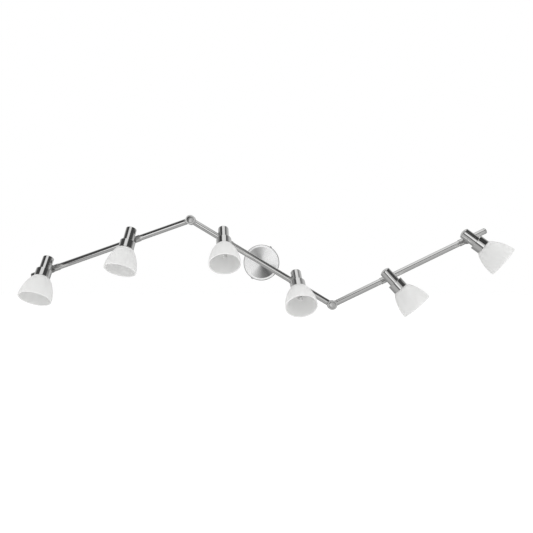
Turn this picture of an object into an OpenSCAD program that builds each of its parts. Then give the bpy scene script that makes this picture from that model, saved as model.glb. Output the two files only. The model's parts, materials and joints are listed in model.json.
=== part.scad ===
// Split-bar spot fixture: three hinged bar sections on one round wall rose, with six swivelling glass spots.
// +X right, +Z up, the wall is the plane y = 0 and the fixture stands out of it towards -Y.
// The origin is the centre of the rose on the wall.

/* [Bars] */
// Distance between the two knuckle pivots of the middle section
middle_len = 450; // [440:1:470]
// Length of each outer section, from its knuckle pivot to the tip of its end cap
arm_len = 462; // [456:1:480]
// Outer diameter of the bar tube
bar_d = 16; // [15.6:0.1:16.2]
// Wall thickness of the bar tube
bar_wall = 1; // [0.8:0.1:1.2]
// Slope of the middle section, rising to the right
middle_slope = -31; // [-33:0.5:-29]
// Slope of the left section, rising to the right
left_slope = 19.4; // [18:0.1:21]
// Slope of the right section, rising to the right
right_slope = 25.9; // [24:0.1:27]
// Distance from the wall to the bar axis
bar_out = 55; // [53:0.5:60]

/* [Rose] */
// Outer diameter of the rose
rose_d = 100; // [98:1:110]
// Depth of the rose from the wall
rose_depth = 25; // [24:0.5:26]
// Sheet thickness of the rose
rose_wall = 1.2; // [1:0.1:1.5]
// Radius of the rose's rounded front edge
rose_edge = 4; // [3:0.5:5]
// Distance between the two wall screw holes
screw_spacing = 60; // [56:1:64]
// Diameter of the wall screw holes
screw_hole_d = 5.2; // [4.5:0.1:5.5]

/* [Heads] */
// Stem distance from the middle of the middle section
middle_stem = 113.5; // [110:0.5:118]
// Distance from the knuckle pivot to the inner stem of an outer section
inner_stem = 167; // [162:1:170]
// Distance from the knuckle pivot to the outer stem of an outer section
outer_stem = 403; // [398:1:408]
// Barrel diameter
barrel_d = 28; // [27:0.5:28]
// Collar diameter
collar_d = 40; // [39:0.5:41]
// Diameter of the shade's open mouth
shade_d = 83; // [81:0.5:84]
// Length of the shade below the collar
shade_len = 62; // [60:0.5:62.5]
// Thickness of the glass
glass_wall = 2.8; // [2.4:0.1:3]

/* [Hidden] */
HEAD_NODES = ["swivel_knuckle", "barrel", "collar", "lampholder", "lamp", "shade_ring", "shade"];
$fn = 64;

// colours
STEEL = "silver";
SATIN = "gainsboro";
ZINC = "darkgray";
OPAL = "whitesmoke";
CERAMIC = "ivory";

// bars and knuckles
bar_r = bar_d / 2;
bar_bore_r = bar_r - bar_wall;
slip = 0.02;         // gap between two fixed pieces that are pushed together
running = 0.05;      // radial clearance of a turning fit
plug_len = 10;       // length of the plugs inside the tubes
knuckle_reach = 16;  // from a knuckle pivot to the end of the tube
ear_r = 13;          // knuckle ears
ear_gap = 0.15;      // half of the gap between the two ears
ear_face = 9;        // outer face of an ear, from the bar axis
shank_start = ear_r + 0.5;
bolt_r = 3;
cap_r = 9.5;
cap_h = 3;
cap_gap = 0.3;
nut_r = 5.5;
nut_h = 3;
end_cap_len = 5;

// places: a slope turns about Y, and a section runs along its own +X
left_angle = 180 + left_slope;
bar_centre = [0, -bar_out, 0];
function dir(angle) = [cos(angle), 0, sin(angle)];
left_pivot = bar_centre - middle_len / 2 * dir(middle_slope);
right_pivot = bar_centre + middle_len / 2 * dir(middle_slope);

// rose and its fixings
rose_r = rose_d / 2;
fixing_angle = middle_slope + 90;  // the bracket lies across the middle bar
bracket_w = 16;
bracket_t = 2;
tab_x = rose_r - 6;                // outer face of the bracket's end tabs
tab_w = 12;
tab_h = 17;
side_screw_y = -12.5;
side_screw_r = 1.5;
side_head_r = 3.2;
side_head_h = 2.4;
stem_r = 6;
thread_r = 5;
thread_end_y = -15;
wire_r = 3.5;
hex_r = 8;
hex_h = 3.6;
block_x = 4;
block_size = [20, 11, 14];
clamp_screw_r = 1.6;
clamp_screw_end = 5;               // inner end of the clamp screws' holes, from the bracket
clamp_wire_r = 1.4;
clamp_wire_y = 3;                  // wire holes, from the bracket

// head: fronts are measured from the bar axis towards -Y
sleeve_r = bar_r + 1.2;
sleeve_len = 40;
boss_r = 11;
boss_back = 4;
boss_front = 9.8;
disc_r = 10.5;
disc_back = boss_front + 0.3;
disc_front = 11.5;
shank_r = 3.5;
head_wire_r = 2;
shank_back = 4.5;
hinge_front = 21.5;    // tilt hinge
hinge_to_barrel = 21;
ear_in = 4.3;
ear_out = 7.3;
hinge_ear_r = 3.7;
lug_half = 4;
lug_r = 3.4;
arm_r = 4;             // round arm between the lug and the barrel
arm_start = 4.5;       // where the arm starts, from the tilt hinge
arm_sink = 2;          // how far the arm runs into the barrel before the barrel is bored
pin_r = 1.5;

// along the barrel, from the hinge, +Z towards the closed end
barrel_top = 21.5;
dome_h = 5;
barrel_wall = 1.2;
collar_top = -17;
collar_end = -39.5;
collar_wall = 1.5;
barrel_end = collar_top - 2.5;
barrel_r = barrel_d / 2;
collar_r = collar_d / 2;
holder_r = 9;
holder_end = collar_end - 8;
slot_depth = 6;        // slot for the lamp's base
lamp_base = [13, 7, 8];
lamp_r = 6.5;
lamp_tip = collar_end - 40;
ring_r = 15.5;
ring_h = 3;
neck_r = collar_r - collar_wall - 0.5;
neck_top = collar_end + 3;
shoulder_z = collar_end - 0.2;
mouth_r = shade_d / 2;
shoulder_r = 19.5;
bell_power = 0.72;     // how round the bell's shoulder is
bell_steps = 14;

// each head: pivot of its section, angle of its section, distance along it,
// swivel from straight down (positive to the right), tilt of the mouth away from the wall
HEADS = [
    [left_pivot, left_angle, outer_stem, -4.5, 29.5],
    [left_pivot, left_angle, inner_stem, -8, 24],
    [bar_centre, middle_slope, -middle_stem, 7, 38.5],
    [bar_centre, middle_slope, middle_stem, 7.5, 46],
    [right_pivot, right_slope, inner_stem, 41, 7.5],
    [right_pivot, right_slope, outer_stem, 50, 12.5]];
function stem_pos(k) = HEADS[k - 1][0] + HEADS[k - 1][2] * dir(HEADS[k - 1][1]);

// ---- helpers ----

module rod_x(r, x1, x2) translate([x1, 0, 0]) rotate([0, 90, 0]) cylinder(r = r, h = x2 - x1);

// a rod pointing away from the wall, between two distances in front of the origin
module rod_front(r, f1, f2) translate([0, -f1, 0]) rotate([90, 0, 0]) cylinder(r = r, h = f2 - f1);

// a section's own frame: +X along the section
module section_frame(pivot, angle) translate(pivot) rotate([0, -angle, 0]) children();

// origin on the bar axis, -Z along the way the head points
module swivel_frame(k) translate(stem_pos(k)) rotate([0, -HEADS[k - 1][3], 0]) children();

// origin on the barrel axis level with the hinge, +Z towards the closed end
module head_frame(k) swivel_frame(k) translate([0, -hinge_front, 0])
    rotate([-HEADS[k - 1][4], 0, 0]) translate([0, -hinge_to_barrel, 0]) children();

module tube_x(x1, x2) difference() {
    rod_x(bar_r, x1, x2);
    rod_x(bar_bore_r, x1 - 1, x2 + 1);
}

// ---- rose ----

module bracket_frame() rotate([0, -fixing_angle, 0]) children();

module wall_bracket() color(ZINC) bracket_frame() difference() {
    union() {
        translate([-tab_x, -bracket_t, -bracket_w / 2]) cube([2 * tab_x, bracket_t, bracket_w]);
        for (side = [0, 1]) mirror([side, 0, 0])
            translate([tab_x - bracket_t, -tab_h, -tab_w / 2]) cube([bracket_t, tab_h, tab_w]);
    }
    for (x = [-1, 1] * screw_spacing / 2) translate([x, 0, 0]) rod_front(screw_hole_d / 2, -1, bracket_t + 1);
    translate([0, side_screw_y, 0]) rod_x(side_screw_r + slip, -tab_x - 1, tab_x + 1);
}

// outline of the rose: radius against distance from the wall, with a rounded front edge
function rose_outline(inset) = [
    [0, rose_depth - inset],
    for (a = [90:-15:0]) [rose_r - rose_edge + (rose_edge - inset) * cos(a),
        rose_depth - rose_edge + (rose_edge - inset) * sin(a)],
    [rose_r - inset, 0],
    [0, 0]];

module rose() color(STEEL) difference() {
    rotate([90, 0, 0]) rotate_extrude($fn = 128) polygon(rose_outline(0));
    rotate([90, 0, 0]) rotate_extrude($fn = 128) polygon(rose_outline(rose_wall));
    rod_front(rose_r - rose_wall, -1, 1);
    rod_front(thread_r + slip, rose_depth - 5, rose_depth + 1);
    bracket_frame() translate([0, side_screw_y, 0]) rod_x(side_screw_r + 0.3, -rose_r - 1, rose_r + 1);
}

module rose_side_screws() color(STEEL) bracket_frame() for (side = [0, 1]) mirror([side, 0, 0])
    translate([0, side_screw_y, 0]) difference() {
        union() {
            rod_x(side_screw_r, tab_x - bracket_t - 2, rose_r + 0.5);
            rod_x(side_head_r, rose_r, rose_r + side_head_h);
        }
        translate([rose_r + side_head_h - 1, -0.5, -side_head_r - 1]) cube([2, 1, 2 * side_head_r + 2]);
    }

module terminal_block() color("ghostwhite") bracket_frame() difference() {
    translate([block_x, -bracket_t - block_size[1], -block_size[2] / 2]) cube(block_size);
    for (i = [0:2]) translate([block_x + block_size[0] * (i + 0.5) / 3, -bracket_t, 0]) {
        rod_front(clamp_screw_r, clamp_screw_end, block_size[1] + 1);
        translate([0, -clamp_wire_y, -block_size[2]]) cylinder(r = clamp_wire_r, h = 2 * block_size[2]);
    }
}

module stem() color(STEEL) difference() {
    union() {
        rod_front(thread_r, -thread_end_y, rose_depth + 1);
        rod_front(stem_r, rose_depth, bar_out);
    }
    rod_front(wire_r, -thread_end_y - 1, bar_out + 1);
    section_frame(bar_centre, middle_slope) rod_x(bar_r, -2 * bar_r, 2 * bar_r);
}

module stem_nut() color(ZINC) difference() {
    translate([0, hex_h + rose_wall - rose_depth, 0]) rotate([90, 0, 0])
        cylinder(r = hex_r, h = hex_h, $fn = 6);
    rod_front(thread_r + slip, 0, rose_depth);
}

// ---- bars ----

// wire hole under a head's stem
module stem_hole(x) translate([x, 0, 0]) rod_front(shank_r + 0.3, 0, bar_r + 1);

module middle_bar() color(STEEL) section_frame(bar_centre, middle_slope) difference() {
    tube_x(-middle_len / 2 + knuckle_reach, middle_len / 2 - knuckle_reach);
    stem_hole(-middle_stem);
    stem_hole(middle_stem);
    rod_front(wire_r, -bar_r - 1, 0);
}

module arm_bar() difference() {
    tube_x(knuckle_reach, arm_len - end_cap_len);
    stem_hole(inner_stem);
    stem_hole(outer_stem);
}

// half-lap knuckle with its ear on the wall side (back = 1) or on the front (back = -1)
module knuckle(back, bore_r) difference() {
    union() {
        mirror([0, (1 - back) / 2, 0]) {
            rod_front(ear_r, -ear_face, -ear_gap);
            intersection() {
                rod_x(bar_r, 0, knuckle_reach);
                translate([0, ear_gap, -bar_r]) cube([knuckle_reach, bar_r, 2 * bar_r]);
            }
        }
        rod_x(bar_r, shank_start, knuckle_reach);
        rod_x(bar_bore_r - slip, knuckle_reach - 1, knuckle_reach + plug_len);
    }
    rod_front(bore_r, -ear_face - 1, ear_face + 1);
}

module middle_knuckles() color(SATIN) {
    section_frame(left_pivot, middle_slope) knuckle(1, bolt_r + slip);
    section_frame(right_pivot, middle_slope + 180) knuckle(1, bolt_r + slip);
}

// shoulder bolt: front cap, shank through both ears, nut behind
module pivot_bolt() {
    rod_front(bolt_r, -ear_face - nut_h, ear_face + 1);
    difference() {
        rod_front(cap_r, ear_face + cap_gap, ear_face + cap_gap + cap_h);
        translate([0, -ear_face - cap_gap, 0]) rotate([90, 0, 0]) rotate_extrude()
            polygon([[cap_r - 0.8, cap_h + 1], [cap_r - 0.8, cap_h], [cap_r, cap_h - 0.8],
                [cap_r + 1, cap_h - 0.8], [cap_r + 1, cap_h + 1]]);
    }
    translate([0, ear_face + nut_h, 0]) rotate([90, 0, 0]) cylinder(r = nut_r, h = nut_h, $fn = 6);
}

module pivot_bolts() color(SATIN) for (p = [left_pivot, right_pivot]) translate(p) pivot_bolt();

module end_cap() translate([arm_len - end_cap_len, 0, 0]) {
    rod_x(bar_bore_r - slip, -plug_len, 1);
    rod_x(bar_r, 0, end_cap_len - 2);
    translate([end_cap_len - 2, 0, 0]) rotate([0, 90, 0]) rotate_extrude()
        polygon([[0, 0], for (a = [0:15:90]) [bar_r - 2 + 2 * cos(a), 2 * sin(a)], [0, 2]]);
}

// sleeve on the bar with the round boss that carries a head
module bar_sleeve(x) translate([x, 0, 0]) difference() {
    union() {
        rod_x(sleeve_r, -sleeve_len / 2, sleeve_len / 2);
        rod_front(boss_r, boss_back, boss_front);
    }
    rod_x(bar_r + slip, -sleeve_len, sleeve_len);
    rod_front(shank_r + running, 0, boss_front + 1);
}

module middle_sleeves() color(SATIN) section_frame(bar_centre, middle_slope) {
    bar_sleeve(-middle_stem);
    bar_sleeve(middle_stem);
}

module arm_sleeves() {
    bar_sleeve(inner_stem);
    bar_sleeve(outer_stem);
}

module left_arm_bar() color(STEEL) section_frame(left_pivot, left_angle) arm_bar();
module left_arm_knuckle() color(SATIN) section_frame(left_pivot, left_angle) knuckle(-1, bolt_r + running);
module left_end_cap() color(SATIN) section_frame(left_pivot, left_angle) end_cap();
module left_sleeves() color(SATIN) section_frame(left_pivot, left_angle) arm_sleeves();
module right_arm_bar() color(STEEL) section_frame(right_pivot, right_slope) arm_bar();
module right_arm_knuckle() color(SATIN) section_frame(right_pivot, right_slope) knuckle(-1, bolt_r + running);
module right_end_cap() color(SATIN) section_frame(right_pivot, right_slope) end_cap();
module right_sleeves() color(SATIN) section_frame(right_pivot, right_slope) arm_sleeves();

// ---- heads ----

// swivel disc with two ears, its hollow shank in the boss, and the tilt pin across the ears
module swivel_knuckle(k) color(SATIN) swivel_frame(k) difference() {
    union() {
        rod_front(disc_r, disc_back, disc_front);
        rod_front(shank_r, shank_back, disc_back + 1);
        intersection() {
            union() for (side = [0, 1]) mirror([side, 0, 0]) {
                translate([0, -hinge_front, 0]) rod_x(hinge_ear_r, ear_in, ear_out);
                translate([ear_in, -hinge_front, -hinge_ear_r])
                    cube([ear_out - ear_in, hinge_front - disc_back, 2 * hinge_ear_r]);
            }
            rod_front(disc_r, disc_back, hinge_front + hinge_ear_r + 1);
        }
        translate([0, -hinge_front, 0]) rod_x(pin_r, -ear_in - 1, ear_in + 1);
    }
    rod_front(head_wire_r, shank_back - 1, disc_front + 1);
}

// closed barrel with a shallow domed end, and behind it the arm and lug that tilt on the pin
module barrel(k) color(STEEL) head_frame(k) difference() {
    union() {
        translate([0, 0, barrel_end]) cylinder(r = barrel_r, h = barrel_top - barrel_end);
        dome(barrel_r, dome_h);
        translate([0, hinge_to_barrel, 0]) rod_x(lug_r, -lug_half, lug_half);
        translate([-lug_half, hinge_to_barrel - arm_start - 1, -lug_r])
            cube([2 * lug_half, arm_start + 1, 2 * lug_r]);
        translate([0, hinge_to_barrel - arm_start, 0])
            rod_front(arm_r, 0, hinge_to_barrel - arm_start - barrel_r + arm_sink);
    }
    translate([0, 0, barrel_end - 1]) cylinder(r = barrel_r - barrel_wall, h = barrel_top - barrel_end + 1);
    dome(barrel_r - barrel_wall, dome_h - barrel_wall);
    translate([0, hinge_to_barrel, 0]) rod_x(pin_r + running, -lug_half - 1, lug_half + 1);
}

// spherical cap on top of the barrel's straight wall
module dome(r, h) {
    sphere_r = (r * r + h * h) / (2 * h);
    span = asin(r / sphere_r);
    translate([0, 0, barrel_top]) rotate_extrude()
        polygon([[0, 0], for (i = [0:8]) [sphere_r * sin(span * (1 - i / 8)),
            sphere_r * cos(span * (1 - i / 8)) - sphere_r + h]]);
}

module collar(k) color(STEEL) head_frame(k) rotate_extrude() polygon([
    [barrel_r + slip, collar_top], [collar_r - 0.6, collar_top], [collar_r, collar_top - 0.6],
    [collar_r, collar_end], [collar_r - collar_wall, collar_end],
    [collar_r - collar_wall, collar_top - collar_wall], [barrel_r + slip, collar_top - collar_wall]]);

module lampholder(k) color(CERAMIC) head_frame(k) difference() {
    union() {
        translate([0, 0, holder_end]) cylinder(r = holder_r, h = barrel_end - holder_end);
        translate([0, 0, barrel_end]) cylinder(r = barrel_r - barrel_wall - slip, h = 4);
    }
    translate([-lamp_base[0] / 2 - slip, -lamp_base[1] / 2 - slip, holder_end - 1])
        cube([lamp_base[0] + 2 * slip, lamp_base[1] + 2 * slip, slot_depth + 1]);
}

// capsule lamp: flat base in the holder's slot and a round capsule
module lamp(k) color(CERAMIC) head_frame(k) {
    translate([-lamp_base[0] / 2, -lamp_base[1] / 2, holder_end + slot_depth - lamp_base[2]]) cube(lamp_base);
    translate([0, 0, lamp_tip + lamp_r]) cylinder(r = lamp_r, h = holder_end - 1.5 - lamp_tip - lamp_r);
    translate([0, 0, lamp_tip + lamp_r]) rotate_extrude()
        polygon([[0, 0], for (a = [0:15:90]) [lamp_r * cos(a), -lamp_r * sin(a)]]);
}

// ring screwed on the lampholder: it holds the shade up against the collar
ring_top = shoulder_z - glass_wall - slip;
module shade_ring(k) color(SATIN) head_frame(k) difference() {
    translate([0, 0, ring_top - ring_h]) cylinder(r = ring_r, h = ring_h);
    translate([0, 0, ring_top - ring_h - 1]) cylinder(r = holder_r + slip, h = ring_h + 2);
}

// bell profile: outer radius and its slope at a distance below the shoulder
function bell_r(s) = shoulder_r + (mouth_r - shoulder_r) * pow(sin(90 * s / shade_len), bell_power);
function bell_slope(s) = (bell_r(s + 0.05) - bell_r(s - 0.05)) / 0.1;
function outer_point(s) = [bell_r(s), shoulder_z - s];
function inner_point(s) = let (m = bell_slope(s), n = sqrt(1 + m * m))
    [bell_r(s) - glass_wall / n, shoulder_z - s - glass_wall * m / n];
function bell_at(i) = shade_len * pow(i / bell_steps, 1.4);

module shade(k) color(OPAL) head_frame(k) rotate_extrude($fn = 96) polygon([
    [holder_r + 0.5, neck_top], [neck_r, neck_top], [neck_r, shoulder_z],
    for (i = [0:bell_steps]) outer_point(bell_at(i)),
    [mouth_r - glass_wall, shoulder_z - shade_len],
    for (i = [bell_steps - 1:-1:1]) inner_point(bell_at(i)),
    [shoulder_r - 1, shoulder_z - glass_wall], [holder_r + 0.5, shoulder_z - glass_wall]]);

// ---- what is drawn ----

wall_bracket();
rose();
rose_side_screws();
terminal_block();
stem();
stem_nut();
middle_bar();
middle_knuckles();
pivot_bolts();
middle_sleeves();
left_arm_bar();
left_arm_knuckle();
left_end_cap();
left_sleeves();
right_arm_bar();
right_arm_knuckle();
right_end_cap();
right_sleeves();
for (k = [1:6]) {
    swivel_knuckle(k);
    barrel(k);
    collar(k);
    lampholder(k);
    lamp(k);
    shade_ring(k);
    shade(k);
}
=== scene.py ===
"""The looks of the split-bar spot fixture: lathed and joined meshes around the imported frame."""

import json
import math

import bmesh
import bpy
from mathutils import Matrix, Vector


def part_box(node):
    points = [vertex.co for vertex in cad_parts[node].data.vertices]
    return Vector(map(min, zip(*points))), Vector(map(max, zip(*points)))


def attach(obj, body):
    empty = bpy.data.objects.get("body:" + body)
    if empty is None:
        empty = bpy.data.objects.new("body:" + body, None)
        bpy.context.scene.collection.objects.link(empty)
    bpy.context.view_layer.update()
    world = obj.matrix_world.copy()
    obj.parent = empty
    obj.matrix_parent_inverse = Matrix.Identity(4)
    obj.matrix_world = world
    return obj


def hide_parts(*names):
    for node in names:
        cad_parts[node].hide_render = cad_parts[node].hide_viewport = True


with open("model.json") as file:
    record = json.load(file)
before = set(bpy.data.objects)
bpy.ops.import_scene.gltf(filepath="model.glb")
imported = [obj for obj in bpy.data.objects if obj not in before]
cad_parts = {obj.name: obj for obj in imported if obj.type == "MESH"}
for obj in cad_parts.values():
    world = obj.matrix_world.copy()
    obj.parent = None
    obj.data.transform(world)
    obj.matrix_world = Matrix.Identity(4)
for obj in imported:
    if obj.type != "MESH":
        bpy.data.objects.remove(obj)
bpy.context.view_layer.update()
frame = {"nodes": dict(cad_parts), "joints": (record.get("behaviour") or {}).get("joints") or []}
JOINTS = {joint["name"]: joint for joint in frame["joints"]}
HEADS = range(1, 7)

# sizes in metres
MM = 0.001
BAR_R = 8 * MM
BAR_BORE_R = 7 * MM
SLEEVE_R = 9.2 * MM
SLEEVE_HALF = 20 * MM
BOSS_R = 11 * MM
BOSS_FRONT = 9.8 * MM
ARM_LEN = 462 * MM
END_CAP_LEN = 5 * MM
KNUCKLE_REACH = 16 * MM
EAR_R = 13 * MM
EAR_FACE = 9 * MM
EAR_GAP = 0.15 * MM
CAP_R = 9.5 * MM
CAP_BACK = 9.3 * MM
CAP_FRONT = 12.3 * MM
ROSE_R = 50 * MM
ROSE_DEPTH = 25 * MM
ROSE_WALL = 1.2 * MM
ROSE_EDGE = 6 * MM
STEM_R = 6 * MM
HINGE_FRONT = 21.5 * MM
HINGE_TO_BARREL = 21 * MM
DISC_R = 10.5 * MM
DISC_BACK = 10.1 * MM
DISC_FRONT = 11.5 * MM
BARREL_R = 14 * MM
BARREL_TOP = 21.5 * MM
DOME_H = 5 * MM
COLLAR_R = 20 * MM
COLLAR_TOP = -17 * MM
COLLAR_END = -39.5 * MM
COLLAR_WALL = 1.5 * MM
HOLDER_R = 9 * MM
HOLDER_END = -47.5 * MM
LAMP_R = 6.5 * MM
LAMP_TIP = -79.5 * MM
RING_R = 15.5 * MM
RING_TOP = -42.52 * MM
RING_H = 3 * MM
GLASS = 2.8 * MM
SHOULDER_R = 19.5 * MM
SHOULDER_Z = COLLAR_END - 0.2 * MM
SHADE_LEN = 62 * MM
MOUTH_R = 41.5 * MM
BELL_POWER = 0.72

# the view: place, and how far the camera turns to its left and lifts
CAMERA_PLACE = (0.03603, -1.42355, -0.0293)
CAMERA_TURN = 0.01557
CAMERA_LIFT = 0.01308
CAMERA_LENS = 33.9
SOFTBOX_AIM = (0.206, -0.9766, -0.062)
FLOOR_Z = -0.62
FLOOR_HALF = 12


# ---- camera and light ----

def make_camera():
    """Face-on to the wall, a little below the middle, as the fixture is seen."""
    data = bpy.data.cameras.new("camera")
    data.lens = CAMERA_LENS
    data.sensor_width = 36
    data.clip_end = 50
    cam = bpy.data.objects.new("camera", data)
    bpy.context.scene.collection.objects.link(cam)
    aim = Matrix.Rotation(CAMERA_TURN, 4, "Z") @ Matrix.Rotation(math.pi / 2 + CAMERA_LIFT, 4, "X")
    cam.matrix_world = Matrix.Translation(CAMERA_PLACE) @ aim
    bpy.context.scene.camera = cam


def ramp_node(nodes, stops):
    node = nodes.new("ShaderNodeValToRGB")
    ramp = node.color_ramp
    while len(ramp.elements) < len(stops):
        ramp.elements.new(0.5)
    for element, (position, value) in zip(ramp.elements, stops):
        element.position = position
        element.color = (value, value, value, 1)
    return node


def mixed(nodes, links, factor, first, second):
    node = nodes.new("ShaderNodeMix")
    node.data_type = "RGBA"
    links.new(factor, node.inputs["Factor"])
    links.new(first, node.inputs["A"])
    links.new(second, node.inputs["B"])
    return node.outputs["Result"]


def make_world():
    """A white studio for the eye and for soft light. Shiny pieces see a lit strip overhead, darker sides, a
    softbox in front, a grey floor and a pale back."""
    world = bpy.data.worlds.new("studio")
    bpy.context.scene.world = world
    world.use_nodes = True
    nodes, links = world.node_tree.nodes, world.node_tree.links
    nodes.clear()
    out = nodes.new("ShaderNodeOutputWorld")
    plain = nodes.new("ShaderNodeBackground")
    plain.inputs["Color"].default_value = (1, 1, 1, 1)
    plain.inputs["Strength"].default_value = 1.0
    studio = nodes.new("ShaderNodeBackground")
    where = nodes.new("ShaderNodeTexCoord")
    split = nodes.new("ShaderNodeSeparateXYZ")
    links.new(where.outputs["Generated"], split.inputs[0])

    def share(value, low, high):
        return ranged(nodes, links, value, 0, 1, low, high)

    across = share(split.outputs["X"], -1, 1)
    back = share(split.outputs["Y"], -1, 1)

    def toned(value, stops):
        node = ramp_node(nodes, stops)
        links.new(value, node.inputs["Fac"])
        return node.outputs["Color"]

    strip = toned(across, [(0, 0.05), (0.31, 0.05), (0.36, 0.85), (0.66, 0.85), (0.71, 0.05), (1, 0.05)])
    dark = toned(across, [(0, 0.06), (0.27, 0.06), (0.35, 0.01), (0.65, 0.01), (0.73, 0.06), (1, 0.06)])
    pale = toned(back, [(0, 0.58), (1, 0.58)])
    high = mixed(nodes, links, share(split.outputs["Z"], 0.61, 0.72), dark, strip)
    high = mixed(nodes, links, share(split.outputs["Y"], 0.05, 0.6), high, pale)
    low = toned(back, [(0, 0.09), (0.07, 0.09), (0.14, 0.48), (0.45, 0.48), (0.8, 0.31), (1, 0.31)])
    every = mixed(nodes, links, share(split.outputs["Z"], -0.09, 0.03), low, high)
    facing = nodes.new("ShaderNodeVectorMath")
    facing.operation = "DOT_PRODUCT"
    facing.inputs[1].default_value = SOFTBOX_AIM
    links.new(where.outputs["Generated"], facing.inputs[0])
    softbox = toned(across, [(0, 1.25), (0.38, 1.25), (0.53, 0.57), (1, 0.57)])
    inside = share(facing.outputs["Value"], 0.84, 0.90)
    links.new(mixed(nodes, links, inside, every, softbox), studio.inputs["Color"])
    path = nodes.new("ShaderNodeLightPath")
    choose = nodes.new("ShaderNodeMixShader")
    links.new(path.outputs["Is Glossy Ray"], choose.inputs["Fac"])
    links.new(plain.outputs[0], choose.inputs[1])
    links.new(studio.outputs[0], choose.inputs[2])
    links.new(choose.outputs[0], out.inputs["Surface"])


def make_light(name, place, aim, size, power):
    data = bpy.data.lights.new(name, "AREA")
    data.shape = "DISK"
    data.size = size
    data.energy = power
    lamp = bpy.data.objects.new(name, data)
    bpy.context.scene.collection.objects.link(lamp)
    lamp.location = place
    lamp.rotation_euler = (Vector(aim) - Vector(place)).to_track_quat("-Z", "Y").to_euler()
    lamp.visible_glossy = False


def make_floor():
    """Plain pale floor well below the fixture. Shiny pieces see the studio's own grey floor instead."""
    mesh = bpy.data.meshes.new("floor")
    corners = [(x * FLOOR_HALF, y * FLOOR_HALF, 0) for x, y in ((-1, -1), (1, -1), (1, 1), (-1, 1))]
    mesh.from_pydata(corners, [], [(0, 1, 2, 3)])
    floor = bpy.data.objects.new("floor", mesh)
    bpy.context.scene.collection.objects.link(floor)
    floor.location = (0, 0, FLOOR_Z)
    floor.visible_glossy = False
    floor.data.materials.append(MATERIALS["floor"])


# ---- materials ----

def new_material(name):
    material = bpy.data.materials.new(name)
    material.use_nodes = True
    nodes = material.node_tree.nodes
    return material, nodes, material.node_tree.links, nodes["Principled BSDF"]


def noise(nodes, links, scale, detail=3.0, rough=0.5, stretch=(1, 1, 1)):
    where = nodes.new("ShaderNodeTexCoord")
    mapping = nodes.new("ShaderNodeMapping")
    mapping.inputs["Scale"].default_value = stretch
    links.new(where.outputs["Object"], mapping.inputs["Vector"])
    node = nodes.new("ShaderNodeTexNoise")
    node.inputs["Scale"].default_value = scale
    node.inputs["Detail"].default_value = detail
    node.inputs["Roughness"].default_value = rough
    links.new(mapping.outputs[0], node.inputs["Vector"])
    return node.outputs["Fac"]


def ranged(nodes, links, value, low, high, from_low=0.3, from_high=0.7):
    node = nodes.new("ShaderNodeMapRange")
    node.inputs["From Min"].default_value = from_low
    node.inputs["From Max"].default_value = from_high
    node.inputs["To Min"].default_value = low
    node.inputs["To Max"].default_value = high
    links.new(value, node.inputs["Value"])
    return node.outputs[0]


def grey(nodes, links, value, low, high):
    node = nodes.new("ShaderNodeValToRGB")
    node.color_ramp.elements[0].position = 0.3
    node.color_ramp.elements[0].color = (low, low, low * 0.99, 1)
    node.color_ramp.elements[1].position = 0.7
    node.color_ramp.elements[1].color = (high, high, high * 0.99, 1)
    links.new(value, node.inputs["Fac"])
    return node.outputs["Color"]


def bump(nodes, links, value, strength, distance):
    node = nodes.new("ShaderNodeBump")
    node.inputs["Strength"].default_value = strength
    node.inputs["Distance"].default_value = distance
    links.new(value, node.inputs["Height"])
    return node.outputs["Normal"]


def brushed(name, tone, rough, streaks, strength):
    """Satin metal: streaks is how much the grain is stretched along the object's own X, Y and Z."""
    material, nodes, links, shader = new_material(name)
    grain = noise(nodes, links, 1400, 4, 0.6, streaks)
    cloud = noise(nodes, links, 35, 2, 0.5)
    shader.inputs["Metallic"].default_value = 1
    links.new(grey(nodes, links, grain, tone - 0.05, tone + 0.03), shader.inputs["Base Color"])
    total = nodes.new("ShaderNodeMath")
    total.operation = "ADD"
    links.new(ranged(nodes, links, grain, rough - 0.035, rough + 0.035), total.inputs[0])
    links.new(ranged(nodes, links, cloud, -0.02, 0.02), total.inputs[1])
    links.new(total.outputs[0], shader.inputs["Roughness"])
    links.new(bump(nodes, links, grain, strength, 0.00002), shader.inputs["Normal"])
    return material


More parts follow.
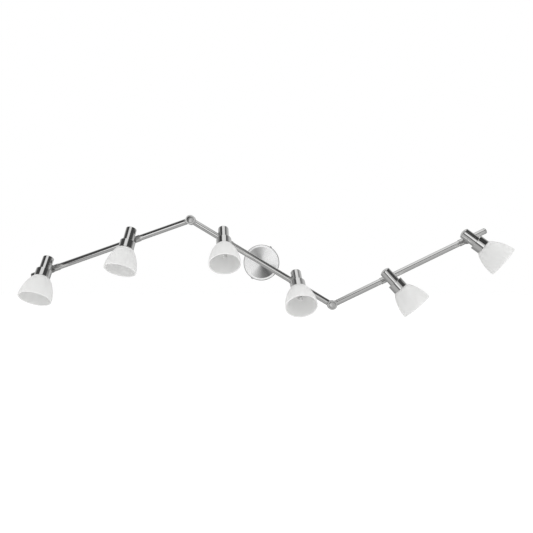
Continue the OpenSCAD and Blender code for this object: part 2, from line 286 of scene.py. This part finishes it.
def spun_steel_painted_fans():
    """Lacquered steel brushed in circles. Its fans of light and shade are painted reflections in the base
    colour, set by the angle round the disc; the rounded edge has a painted highlight band and the rim a
    painted shade line."""
    material, nodes, links, shader = new_material("rose_steel")
    where = nodes.new("ShaderNodeTexCoord")
    turn = nodes.new("ShaderNodeTexGradient")
    turn.gradient_type = "RADIAL"
    links.new(where.outputs["Object"], turn.inputs["Vector"])
    # Painted reflection: light and dark wedges in the base colour, set by the angle round the disc, stand in
    # for the fans that brushing in circles reflects.
    painted_reflection_fans = ramp_node(nodes, [(0, 0.97), (0.12, 0.93), (0.2, 0.5), (0.27, 0.22), (0.34, 0.14), (0.42, 0.4),
                             (0.48, 0.95), (0.6, 0.97), (0.69, 0.85), (0.76, 0.5), (0.82, 0.36), (0.88, 0.5),
                             (0.94, 0.93), (1, 0.97)])
    links.new(turn.outputs["Fac"], painted_reflection_fans.inputs["Fac"])
    rings = nodes.new("ShaderNodeTexWave")
    rings.wave_type = "RINGS"
    rings.rings_direction = "Z"
    rings.inputs["Scale"].default_value = 900
    rings.inputs["Distortion"].default_value = 3
    links.new(where.outputs["Object"], rings.inputs["Vector"])
    flat = nodes.new("ShaderNodeVectorMath")
    flat.operation = "MULTIPLY"
    flat.inputs[1].default_value = (1 / ROSE_R, 1 / ROSE_R, 0)
    links.new(where.outputs["Object"], flat.inputs[0])
    reach = nodes.new("ShaderNodeVectorMath")
    reach.operation = "LENGTH"
    links.new(flat.outputs[0], reach.inputs[0])
    # Painted highlight and painted shade: the outer ring of the disc takes a white band on the rounded edge,
    # then a dark line of painted shade at the very rim.
    painted_edge_mask = ramp_node(nodes, [(0, 0), (0.86, 0), (0.88, 1), (1, 1)])
    edge = ramp_node(nodes, [(0, 1), (0.955, 1), (0.985, 0.1), (1, 0.1)])
    for ramp in (painted_edge_mask, edge):
        links.new(reach.outputs["Value"], ramp.inputs["Fac"])
    shader.inputs["Metallic"].default_value = 0.4
    links.new(mixed(nodes, links, painted_edge_mask.outputs["Color"], painted_reflection_fans.outputs["Color"], edge.outputs["Color"]),
              shader.inputs["Base Color"])
    links.new(ranged(nodes, links, rings.outputs["Fac"], 0.26, 0.36, 0, 1), shader.inputs["Roughness"])
    links.new(bump(nodes, links, rings.outputs["Fac"], 0.08, 0.00001), shader.inputs["Normal"])
    return material


def opal_glass():
    """Satin opal glass: white through and through, a fine matt skin and faint clouds."""
    material, nodes, links, shader = new_material("opal_glass")
    cloud = noise(nodes, links, 28, 3, 0.5)
    skin = noise(nodes, links, 2600, 2, 0.5)
    links.new(grey(nodes, links, cloud, 0.585, 0.61), shader.inputs["Base Color"])
    links.new(ranged(nodes, links, skin, 0.34, 0.44), shader.inputs["Roughness"])
    shader.inputs["IOR"].default_value = 1.5
    shader.inputs["Specular IOR Level"].default_value = 0.2
    shader.inputs["Subsurface Weight"].default_value = 1.0
    shader.inputs["Subsurface Radius"].default_value = (1, 1, 1)
    shader.inputs["Subsurface Scale"].default_value = 0.012
    links.new(bump(nodes, links, skin, 0.12, 0.00001), shader.inputs["Normal"])
    return material


def lamp_glass():
    """Frosted capsule glass."""
    material, nodes, links, shader = new_material("lamp_glass")
    skin = noise(nodes, links, 1800, 2, 0.5)
    links.new(grey(nodes, links, noise(nodes, links, 60, 2, 0.5), 0.86, 0.92), shader.inputs["Base Color"])
    links.new(ranged(nodes, links, skin, 0.22, 0.32), shader.inputs["Roughness"])
    shader.inputs["Transmission Weight"].default_value = 0.35
    shader.inputs["IOR"].default_value = 1.45
    return material


def dull(name, tone, rough, warm=1.0, grain_scale=500, glow=0.0):
    """Ceramic, moulded plastic or painted surface with a fine grain."""
    material, nodes, links, shader = new_material(name)
    grain = noise(nodes, links, grain_scale, 3, 0.6)
    node = nodes.new("ShaderNodeValToRGB")
    for element, position, value in zip(node.color_ramp.elements, (0.3, 0.7), (tone - 0.04, tone + 0.02)):
        element.position = position
        element.color = (value, value * (1 + warm) / 2, value * warm, 1)
    links.new(grain, node.inputs["Fac"])
    links.new(node.outputs["Color"], shader.inputs["Base Color"])
    links.new(ranged(nodes, links, grain, rough - 0.05, rough + 0.05), shader.inputs["Roughness"])
    links.new(bump(nodes, links, grain, 0.3, 0.00005), shader.inputs["Normal"])
    shader.inputs["Emission Color"].default_value = (1, 1, 1, 1)
    shader.inputs["Emission Strength"].default_value = glow
    return material


MATERIALS = {
    "bar": brushed("bar_steel", 0.78, 0.12, (0.02, 1, 1), 0.12),
    "barrel": brushed("barrel_steel", 0.80, 0.11, (1, 1, 0.02), 0.10),
    "rose": spun_steel_painted_fans(),
    "satin": brushed("satin_steel", 0.70, 0.26, (1, 1, 1), 0.15),
    "zinc": brushed("zinc_plate", 0.62, 0.36, (1, 1, 1), 0.3),
    "ring": brushed("ring_alu", 0.80, 0.30, (1, 1, 1), 0.15),
    "terminal": dull("terminal_plastic", 0.80, 0.45, 0.96),
    "ceramic": dull("ceramic", 0.82, 0.6, 0.94),
    "opal": opal_glass(),
    "lamp": lamp_glass(),
    "floor": dull("floor_paper", 0.90, 0.8, 1.0, 40, 0.2),
}


# ---- mesh helpers ----

def fillet(points, radius, steps=4):
    """A closed outline of (r, z) points with its corners rounded; points on the axis stay sharp. A point
    just past each end of a rounding keeps the long faces beside it flat to the light."""
    out = []
    count = len(points)
    for i, point in enumerate(points):
        here = Vector(point)
        before = Vector(points[i - 1]) - here
        after = Vector(points[(i + 1) % count]) - here
        if here.x < 1e-7 or before.length < 1e-9 or after.length < 1e-9:
            out.append(here)
            continue
        a, b = before.normalized(), after.normalized()
        angle = math.acos(max(-1, min(1, a.dot(b))))
        if angle > math.radians(150):
            out.append(here)
            continue
        cut = min(radius / math.tan(angle / 2), 0.45 * before.length, 0.45 * after.length)
        true_radius = cut * math.tan(angle / 2)
        centre = here + (a + b).normalized() * (true_radius / math.sin(angle / 2))
        start, end = here + a * cut - centre, here + b * cut - centre
        out.append(here + a * (cut + min(0.25 * MM, 0.04 * before.length)))
        for k in range(steps + 1):
            out.append(centre + start.slerp(end, k / steps, start).normalized() * true_radius)
        out.append(here + b * (cut + min(0.25 * MM, 0.04 * after.length)))
    return out


def add_lathe(bm, profile, place=None, segments=72, closed=True):
    """Turns an outline of (r, z) points about Z and adds it to bm, moved by place."""
    rings = []
    for r, z in profile:
        if r < 1e-7:
            rings.append([bm.verts.new((0, 0, z))] * segments)
        else:
            turns = [2 * math.pi * i / segments for i in range(segments)]
            rings.append([bm.verts.new((r * math.cos(a), r * math.sin(a), z)) for a in turns])
    new = {v for ring in rings for v in ring}
    pairs = list(zip(rings, rings[1:])) + ([(rings[-1], rings[0])] if closed else [])
    for low, high in pairs:
        for i in range(segments):
            corners = []
            for v in (low[i], low[(i + 1) % segments], high[(i + 1) % segments], high[i]):
                if v not in corners:
                    corners.append(v)
            if len(corners) > 2:
                bm.faces.new(corners)
    if place is not None:
        bmesh.ops.transform(bm, matrix=place, verts=list(new))


def add_box(bm, low, high, place=None):
    low, high = Vector(low), Vector(high)
    made = bmesh.ops.create_cube(bm, size=1)["verts"]
    matrix = Matrix.Translation((low + high) / 2) @ Matrix.Diagonal((*(high - low), 1))
    bmesh.ops.transform(bm, matrix=(place or Matrix()) @ matrix, verts=made)


def finish_mesh(bm, name, sharp=35):
    bmesh.ops.recalc_face_normals(bm, faces=bm.faces)
    mesh = bpy.data.meshes.new(name)
    bm.to_mesh(mesh)
    bm.free()
    for polygon in mesh.polygons:
        polygon.use_smooth = True
    mesh.set_sharp_from_angle(angle=math.radians(sharp))
    return mesh


def place_piece(mesh, name, matrix, body, material, nodes=()):
    piece = bpy.data.objects.new(name, mesh)
    bpy.context.scene.collection.objects.link(piece)
    piece.matrix_world = matrix
    mesh.materials.clear()
    mesh.materials.append(MATERIALS[material])
    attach(piece, body)
    if nodes:
        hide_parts(*nodes)
    return piece


def lathe_piece(name, profile, matrix, body, material, nodes=(), segments=72, closed=True):
    bm = bmesh.new()
    add_lathe(bm, profile, None, segments, closed)
    return place_piece(finish_mesh(bm, name), name, matrix, body, material, nodes)


def joined(name, solids, cutters=(), bevel=0.0004):
    """One clean mesh from overlapping closed solids, less the cutters, with its sharp edges bevelled.
    Each solid and cutter is a function that fills a bmesh."""
    scene = bpy.context.scene
    objects = []
    for i, fill in enumerate(list(solids) + list(cutters)):
        bm = bmesh.new()
        fill(bm)
        bmesh.ops.recalc_face_normals(bm, faces=bm.faces)
        mesh = bpy.data.meshes.new("tool")
        for face in bm.faces:
            face.smooth = True
        bm.to_mesh(mesh)
        bm.free()
        tool = bpy.data.objects.new(f"tool_{i}", mesh)
        scene.collection.objects.link(tool)
        objects.append(tool)
    base = objects[0]
    for i, tool in enumerate(objects[1:], 1):
        step = base.modifiers.new(f"step_{i}", "BOOLEAN")
        step.operation = "UNION" if i < len(solids) else "DIFFERENCE"
        step.solver = "EXACT"
        step.object = tool
    edge = base.modifiers.new("bevel", "BEVEL")
    edge.width = bevel
    edge.segments = 3
    edge.limit_method = "ANGLE"
    edge.angle_limit = math.radians(40)
    edge.use_clamp_overlap = True
    base.modifiers.new("even", "WEIGHTED_NORMAL").weight = 90
    bpy.context.view_layer.update()
    graph = bpy.context.evaluated_depsgraph_get()
    mesh = bpy.data.meshes.new_from_object(base.evaluated_get(graph))
    mesh.name = name
    for tool in objects:
        spare = tool.data
        bpy.data.objects.remove(tool)
        bpy.data.meshes.remove(spare)
    return mesh


ALONG_X = Matrix.Rotation(math.pi / 2, 4, "Y")      # turns a lathe's Z to +X
TO_FRONT = Matrix.Rotation(math.pi / 2, 4, "X")     # turns a lathe's Z to -Y
TO_WALL = Matrix.Rotation(-math.pi / 2, 4, "X")     # turns a lathe's Z to +Y


def rod(radius, low, high, turn=ALONG_X, segments=64):
    """A plain closed rod, to be joined with others."""
    outline = [(0, low), (radius, low), (radius, high), (0, high)]
    return lambda bm: add_lathe(bm, outline, turn, segments, False)


def block(low, high):
    return lambda bm: add_box(bm, low, high)


# ---- frames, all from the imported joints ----

def joint_place(name):
    return Vector(JOINTS[name]["pos_m"])


def basis(x, y, z, origin):
    matrix = Matrix((x, y, z)).transposed().to_4x4()
    matrix.translation = origin
    return matrix


def section_frame(origin, towards):
    """+X along the bar, Y straight into the wall."""
    x = (towards - origin).normalized()
    y = Vector((0, 1, 0))
    return basis(x, y, x.cross(y), origin)


LEFT_PIVOT = joint_place("left_arm_hinge")
RIGHT_PIVOT = joint_place("right_arm_hinge")
BAR_CENTRE = (LEFT_PIVOT + RIGHT_PIVOT) / 2
MIDDLE = section_frame(BAR_CENTRE, RIGHT_PIVOT)
LEFT = section_frame(LEFT_PIVOT, joint_place("swivel_1"))
RIGHT = section_frame(RIGHT_PIVOT, joint_place("swivel_6"))
MIDDLE_HALF = (RIGHT_PIVOT - LEFT_PIVOT).length / 2


def swivel_matrix(k):
    """Origin on the bar axis, X along the tilt hinge, Y into the wall."""
    x = -Vector(JOINTS[f"tilt_{k}"]["axis"]).normalized()
    y = Vector((0, 1, 0))
    return basis(x, y, x.cross(y), joint_place(f"swivel_{k}"))


def head_matrix(k):
    """Origin on the barrel axis level with the hinge, +Z towards the closed end. The shade ring, a plain
    ring on that axis, tells how far the head is tilted."""
    x = -Vector(JOINTS[f"tilt_{k}"]["axis"]).normalized()
    hinge = joint_place(f"tilt_{k}")
    low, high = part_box(f"shade_ring_{k}")
    to_ring = (low + high) / 2 - hinge
    up = x.cross(Vector((0, 1, 0)))
    seen = math.atan2(to_ring.dot(Vector((0, 1, 0))), to_ring.dot(up))
    flat = math.atan2(-HINGE_TO_BARREL, RING_TOP - RING_H / 2)
    tilt = seen - flat
    y = Vector((0, 1, 0)) * math.cos(tilt) - up * math.sin(tilt)
    z = x.cross(y)
    return basis(x, y, z, hinge - y * HINGE_TO_BARREL)


# ---- rose ----

def make_rose():
    outer = [(0, ROSE_DEPTH), (ROSE_R - ROSE_EDGE, ROSE_DEPTH)]
    outer += [(ROSE_R - ROSE_EDGE + ROSE_EDGE * math.sin(a), ROSE_DEPTH - ROSE_EDGE + ROSE_EDGE * math.cos(a))
              for a in (math.radians(d) for d in range(6, 91, 6))]
    inner_edge = ROSE_EDGE - ROSE_WALL
    rim = [(ROSE_R, 0.3 * MM), (ROSE_R - 0.3 * MM, 0), (ROSE_R - ROSE_WALL + 0.3 * MM, 0),
           (ROSE_R - ROSE_WALL, 0.3 * MM)]
    inner = [(ROSE_R - ROSE_EDGE + inner_edge * math.cos(a),
              ROSE_DEPTH - ROSE_EDGE + inner_edge * math.sin(a))
             for a in (math.radians(d) for d in range(0, 91, 10))]
    inner += [(0, ROSE_DEPTH - ROSE_WALL)]
    lathe_piece("rose_cover", outer + rim + inner, TO_FRONT, "rose", "rose", ["rose"],
                160, False)


def make_stem():
    foot = ROSE_DEPTH
    top = -BAR_CENTRE.y - BAR_R + 1.2 * MM
    profile = fillet([(0, foot), (STEM_R + 1.5 * MM, foot), (STEM_R + 1.5 * MM, foot + 2 * MM),
                      (STEM_R, foot + 2.6 * MM), (STEM_R, top), (0, top)], 0.4 * MM)
    lathe_piece("stem_tube", profile, TO_FRONT, "rose", "satin", ["stem"], 64, False)


# ---- bars ----

def make_bar(name, matrix, start, end, body, nodes):
    profile = fillet([(BAR_BORE_R, start), (BAR_R, start), (BAR_R, end), (BAR_BORE_R, end)], 0.25 * MM, 2)
    bm = bmesh.new()
    add_lathe(bm, profile, ALONG_X, 96)
    place_piece(finish_mesh(bm, name), name, matrix, body, "bar", nodes)


def knuckle_mesh(name, back):
    """Half-lap ear on the wall side (back = 1) or in front (back = -1), with its shank along +X."""
    ear = (EAR_GAP, EAR_FACE) if back > 0 else (-EAR_FACE, -EAR_GAP)
    ear_side = [(0, ear[0]), (EAR_R, ear[0]), (EAR_R, ear[1]), (0, ear[1])]
    wide = 20 * MM
    cut = (-EAR_GAP, wide) if back < 0 else (-wide, EAR_GAP)

    def shank(bm):
        outline = [(0, 4 * MM), (BAR_R, 4 * MM), (BAR_R, KNUCKLE_REACH), (0, KNUCKLE_REACH)]
        add_lathe(bm, outline, ALONG_X, 64, False)

    return joined(name, [
        lambda bm: add_lathe(bm, ear_side, TO_WALL, 72, False), shank],
        [block((-wide, cut[0], -wide), (EAR_R + 0.5 * MM, cut[1], wide))], 0.6 * MM)


def make_knuckles():
    for side, pivot, turn in (("left", LEFT_PIVOT, 0), ("right", RIGHT_PIVOT, math.pi)):
        matrix = Matrix.Translation(pivot - BAR_CENTRE) @ MIDDLE @ Matrix.Rotation(turn, 4, "Y")
        nodes = ["middle_knuckles"] if side == "left" else []
        place_piece(knuckle_mesh(f"middle_knuckle_{side}", 1), f"middle_knuckle_{side}", matrix, "rose",
                    "satin", nodes)
    for side, matrix in (("left", LEFT), ("right", RIGHT)):
        place_piece(knuckle_mesh(f"arm_knuckle_{side}", -1), f"arm_knuckle_{side}", matrix, f"{side}_arm",
                    "satin", [f"{side}_arm_knuckle"])


def make_pivot_bolts():
    cap = fillet([(0, CAP_BACK), (CAP_R, CAP_BACK), (CAP_R, CAP_FRONT - 0.6 * MM),
                  (CAP_R - 1.2 * MM, CAP_FRONT), (0, CAP_FRONT)], 0.5 * MM)
    for side, pivot in (("left", LEFT_PIVOT), ("right", RIGHT_PIVOT)):
        nut = joined(f"pivot_nut_{side}", [rod(5.5 * MM, EAR_FACE, EAR_FACE + 3 * MM, TO_WALL, 6)],
                     [rod(2.4 * MM, EAR_FACE + 2.2 * MM, EAR_FACE + 4 * MM, TO_WALL, 32)], 0.35 * MM)
        lathe_piece(f"pivot_cap_{side}", cap, Matrix.Translation(pivot) @ TO_FRONT, "rose", "satin",
                    ["pivot_bolts"] if side == "left" else [], 72, False)
        place_piece(nut, f"pivot_nut_{side}", Matrix.Translation(pivot), "rose", "zinc")


def make_end_cap(side, matrix):
    start = ARM_LEN - END_CAP_LEN
    profile = [(0, start - 6 * MM), (BAR_BORE_R - 0.05 * MM, start - 6 * MM), (BAR_BORE_R - 0.05 * MM, start),
               (BAR_R - 0.3 * MM, start), (BAR_R, start + 0.3 * MM)]
    profile += [(BAR_R - 2 * MM + 2 * MM * math.cos(a), ARM_LEN - 2 * MM + 2 * MM * math.sin(a))
                for a in (math.radians(d) for d in range(0, 91, 15))]
    profile += [(0, ARM_LEN)]
    bm = bmesh.new()
    add_lathe(bm, profile, ALONG_X, 72, False)
    name = f"end_cap_{side}"
    place_piece(finish_mesh(bm, name), name, matrix, f"{side}_arm", "satin", [f"{side}_end_cap"])


def sleeve_mesh(name):
    """Sleeve on the bar with the round boss that carries a head."""
    return joined(name, [rod(SLEEVE_R, -SLEEVE_HALF, SLEEVE_HALF), rod(BOSS_R, 3 * MM, BOSS_FRONT, TO_FRONT)],
                  [rod(BAR_R + 0.02 * MM, -2 * SLEEVE_HALF, 2 * SLEEVE_HALF),
                   rod(3.55 * MM, 0, BOSS_FRONT * 2, TO_FRONT, 48)], 0.5 * MM)


def make_sleeves():
    groups = {"left_arm": (1, 2, LEFT, "left_sleeves"), "rose": (3, 4, MIDDLE, "middle_sleeves"),
              "right_arm": (5, 6, RIGHT, "right_sleeves")}
    for body, (first, second, section, node) in groups.items():
        for k in (first, second):
            matrix = section.copy()
            matrix.translation = joint_place(f"swivel_{k}")
            place_piece(sleeve_mesh(f"sleeve_{k}"), f"sleeve_{k}", matrix, body, "satin",
                        [node] if k == first else [])


# ---- heads ----

def make_swivel(k):
    """Swivel disc, two ears and the tilt pin with its riveted ends."""
    ear_in, ear_out, ear_r = 4.3 * MM, 7.3 * MM, 3.7 * MM
    at_hinge = Matrix.Translation((0, -HINGE_FRONT, 0)) @ ALONG_X
    solids = [rod(DISC_R, DISC_BACK, DISC_FRONT, TO_FRONT)]
    for sign in (-1, 1):
        low, high = sorted((sign * ear_in, sign * ear_out))
        solids.append(rod(ear_r, low, high, at_hinge, 48))
        solids.append(block((low, -HINGE_FRONT, -ear_r), (high, -DISC_FRONT + 0.5 * MM, ear_r)))
    solids.append(rod(3.5 * MM, 5 * MM, DISC_BACK + 0.5 * MM, TO_FRONT, 48))
    mesh = joined(f"swivel_{k}_fork", solids, [], 0.3 * MM)
    body = f"swivel_{k}"
    place_piece(mesh, f"swivel_{k}_fork", swivel_matrix(k), body, "satin", [f"swivel_knuckle_{k}"])
    pin = fillet([(0, -ear_out - 0.1 * MM), (1.5 * MM, -ear_out - 0.1 * MM), (1.5 * MM, ear_out + 0.1 * MM),
                  (0, ear_out + 0.1 * MM)], 0.3 * MM, 3)
    bm = bmesh.new()
    add_lathe(bm, pin, at_hinge, 32, False)
    place_piece(finish_mesh(bm, f"tilt_pin_{k}"), f"tilt_pin_{k}", swivel_matrix(k), body, "zinc")


def dome_points(radius, height, top, steps=6):
    """From the edge of the cap to its middle."""
    sphere = (radius ** 2 + height ** 2) / (2 * height)
    span = math.asin(radius / sphere)
    return [(sphere * math.sin(span * (1 - i / steps)),
             top + height - sphere + sphere * math.cos(span * (1 - i / steps))) for i in range(steps + 1)]


def make_barrel(k, matrix):
    wall = 1.2 * MM
    low = COLLAR_TOP - 2.5 * MM
    outer = [(BARREL_R, low)] + dome_points(BARREL_R, DOME_H, BARREL_TOP)
    inner = dome_points(BARREL_R - wall, DOME_H - wall, BARREL_TOP)[::-1] + [(BARREL_R - wall, low)]
    lathe_piece(f"barrel_{k}_tube", fillet(outer + inner, 1.6 * MM, 6), matrix, f"head_{k}", "barrel",
                [f"barrel_{k}"], 96, True)
    reach = HINGE_TO_BARREL - BARREL_R + 0.4 * MM
    at_hinge = Matrix.Translation((0, HINGE_TO_BARREL, 0))
    tongue = block((-4 * MM, HINGE_TO_BARREL - 5.5 * MM, -3.4 * MM), (4 * MM, HINGE_TO_BARREL, 3.4 * MM))
    arm = joined(f"barrel_{k}_arm", [
        rod(3.4 * MM, -4 * MM, 4 * MM, at_hinge @ ALONG_X, 48), tongue,
        rod(4 * MM, 4.5 * MM, reach, at_hinge @ TO_FRONT, 48)],
        [rod(1.55 * MM, -6 * MM, 6 * MM, at_hinge @ ALONG_X, 32)], 0.35 * MM)
    place_piece(arm, f"barrel_{k}_arm", matrix, f"head_{k}", "satin")


def make_collar(k, matrix):
    hole_r, inner_r, inner_top = BARREL_R + 0.02 * MM, COLLAR_R - COLLAR_WALL, COLLAR_TOP - COLLAR_WALL
    profile = fillet([(hole_r, COLLAR_TOP), (COLLAR_R, COLLAR_TOP), (COLLAR_R, COLLAR_END),
                      (inner_r, COLLAR_END), (inner_r, inner_top), (hole_r, inner_top)], 0.45 * MM)
    lathe_piece(f"collar_{k}_cup", profile, matrix, f"head_{k}", "barrel",
                [f"collar_{k}"], 96)


def make_lamp(k, matrix):
    """Ceramic holder, and the capsule with its pinched base and moulded tip."""
    body = f"head_{k}"
    holder = fillet([(0, HOLDER_END), (HOLDER_R, HOLDER_END), (HOLDER_R, COLLAR_TOP - 2.5 * MM),
                     (0, COLLAR_TOP - 2.5 * MM)], 0.6 * MM)
    lathe_piece(f"lampholder_{k}_ceramic", holder, matrix, body, "ceramic", [f"lampholder_{k}"],
                48, False)
    base = joined(f"lamp_{k}_base", [block((-6.5 * MM, -3.5 * MM, HOLDER_END - 4 * MM),
                                           (6.5 * MM, 3.5 * MM, HOLDER_END + 0.5 * MM))], [], 0.8 * MM)
    place_piece(base, f"lamp_{k}_base", matrix, body, "ceramic")
    neck = HOLDER_END - 3.5 * MM
    bulb = [(0, neck), (4.5 * MM, neck), (5.6 * MM, neck - 1.2 * MM), (LAMP_R, neck - 3 * MM)]
    bulb += [(LAMP_R * math.cos(a), LAMP_TIP + LAMP_R - LAMP_R * math.sin(a))
             for a in (math.radians(d) for d in range(0, 90, 10))]
    bulb += [(0, LAMP_TIP)]
    lathe_piece(f"lamp_{k}_capsule", bulb, matrix, body, "lamp", [f"lamp_{k}"], 48, False)


def make_ring(k, matrix):
    """Threaded ring with grip notches round its edge."""
    low, top, hole_r = RING_TOP - RING_H, RING_TOP, HOLDER_R + 0.1 * MM

    def body(bm):
        add_lathe(bm, [(hole_r, low), (RING_R, low), (RING_R, top), (hole_r, top)], None, 72)

    def notch(i):
        turn = Matrix.Rotation(2 * math.pi * i / 8, 4, "Z") @ Matrix.Translation((RING_R + 0.6 * MM, 0, 0))
        return rod(1.6 * MM, low - MM, top + MM, turn, 20)

    mesh = joined(f"shade_ring_{k}_notched", [body], [notch(i) for i in range(8)], 0.25 * MM)
    place_piece(mesh, f"shade_ring_{k}_notched", matrix, f"head_{k}", "ring", [f"shade_ring_{k}"])


def bell_radius(s):
    return SHOULDER_R + (MOUTH_R - SHOULDER_R) * math.sin(math.pi / 2 * s / SHADE_LEN) ** BELL_POWER


def shade_profile():
    """Bell outline with an even wall and a fire-rounded rim."""
    steps = 40
    outer, inner = [], []
    for i in range(steps + 1):
        s = SHADE_LEN * (i / steps) ** 1.5
        s = min(s, SHADE_LEN - GLASS / 2)
        radius = bell_radius(s)
        slope = (bell_radius(s + 1e-5) - bell_radius(max(s - 1e-5, 0))) / (2e-5 if s > 1e-5 else 1e-5)
        norm = math.hypot(1, slope)
        outer.append((radius, SHOULDER_Z - s))
        if s > 0.4 * MM:
            inner.append((radius - GLASS / norm, SHOULDER_Z - s - GLASS * slope / norm))
        if s >= SHADE_LEN - GLASS / 2:
            break
    lip = GLASS / 2
    middle = (outer[-1][0] + inner[-1][0]) / 2
    rim = [(middle + lip * math.cos(a), outer[-1][1] - lip * math.sin(a))
           for a in (math.radians(d) for d in range(15, 180, 15))]
    inner = [p for p in inner if p[1] > outer[-1][1] - 0.1 * MM]
    neck_r = COLLAR_R - COLLAR_WALL - 0.5 * MM
    hole_r = HOLDER_R + 0.5 * MM
    inside_top = SHOULDER_Z - GLASS
    neck_top = COLLAR_END + 3 * MM
    top = [(hole_r, inside_top), (hole_r, neck_top), (neck_r, neck_top), (neck_r, SHOULDER_Z)]
    return top + outer + rim + inner[::-1]


def make_shade(k, matrix):
    lathe_piece(f"shade_{k}_glass", shade_profile(), matrix, f"head_{k}", "opal",
                [f"shade_{k}"], 128)


def dress_frame_nodes():
    """The CAD nodes that stay as they are get their own materials."""
    looks = {"wall_bracket": "zinc", "stem_nut": "zinc", "terminal_block": "terminal",
             "rose_side_screws": "satin"}
    for node, material in looks.items():
        mesh = frame["nodes"][node].data
        mesh.materials.clear()
        mesh.materials.append(MATERIALS[material])


make_camera()
bpy.context.scene.view_settings.view_transform = "Standard"
make_world()
make_light("key", (-1.4, -2.2, 2.6), (0, 0, 0), 2.0, 20)
make_light("fill", (2.4, -1.6, 0.8), (0, 0, 0), 2.0, 8)
make_floor()
make_rose()
make_stem()
tube_half = MIDDLE_HALF - KNUCKLE_REACH
make_bar("middle_tube", MIDDLE, -tube_half, tube_half, "rose", ["middle_bar"])
make_bar("left_tube", LEFT, KNUCKLE_REACH, ARM_LEN - END_CAP_LEN, "left_arm", ["left_arm_bar"])
make_bar("right_tube", RIGHT, KNUCKLE_REACH, ARM_LEN - END_CAP_LEN, "right_arm", ["right_arm_bar"])
make_knuckles()
make_pivot_bolts()
make_end_cap("left", LEFT)
make_end_cap("right", RIGHT)
make_sleeves()
for k in HEADS:
    head = head_matrix(k)
    make_swivel(k)
    make_barrel(k, head)
    make_collar(k, head)
    make_lamp(k, head)
    make_ring(k, head)
    make_shade(k, head)
dress_frame_nodes()
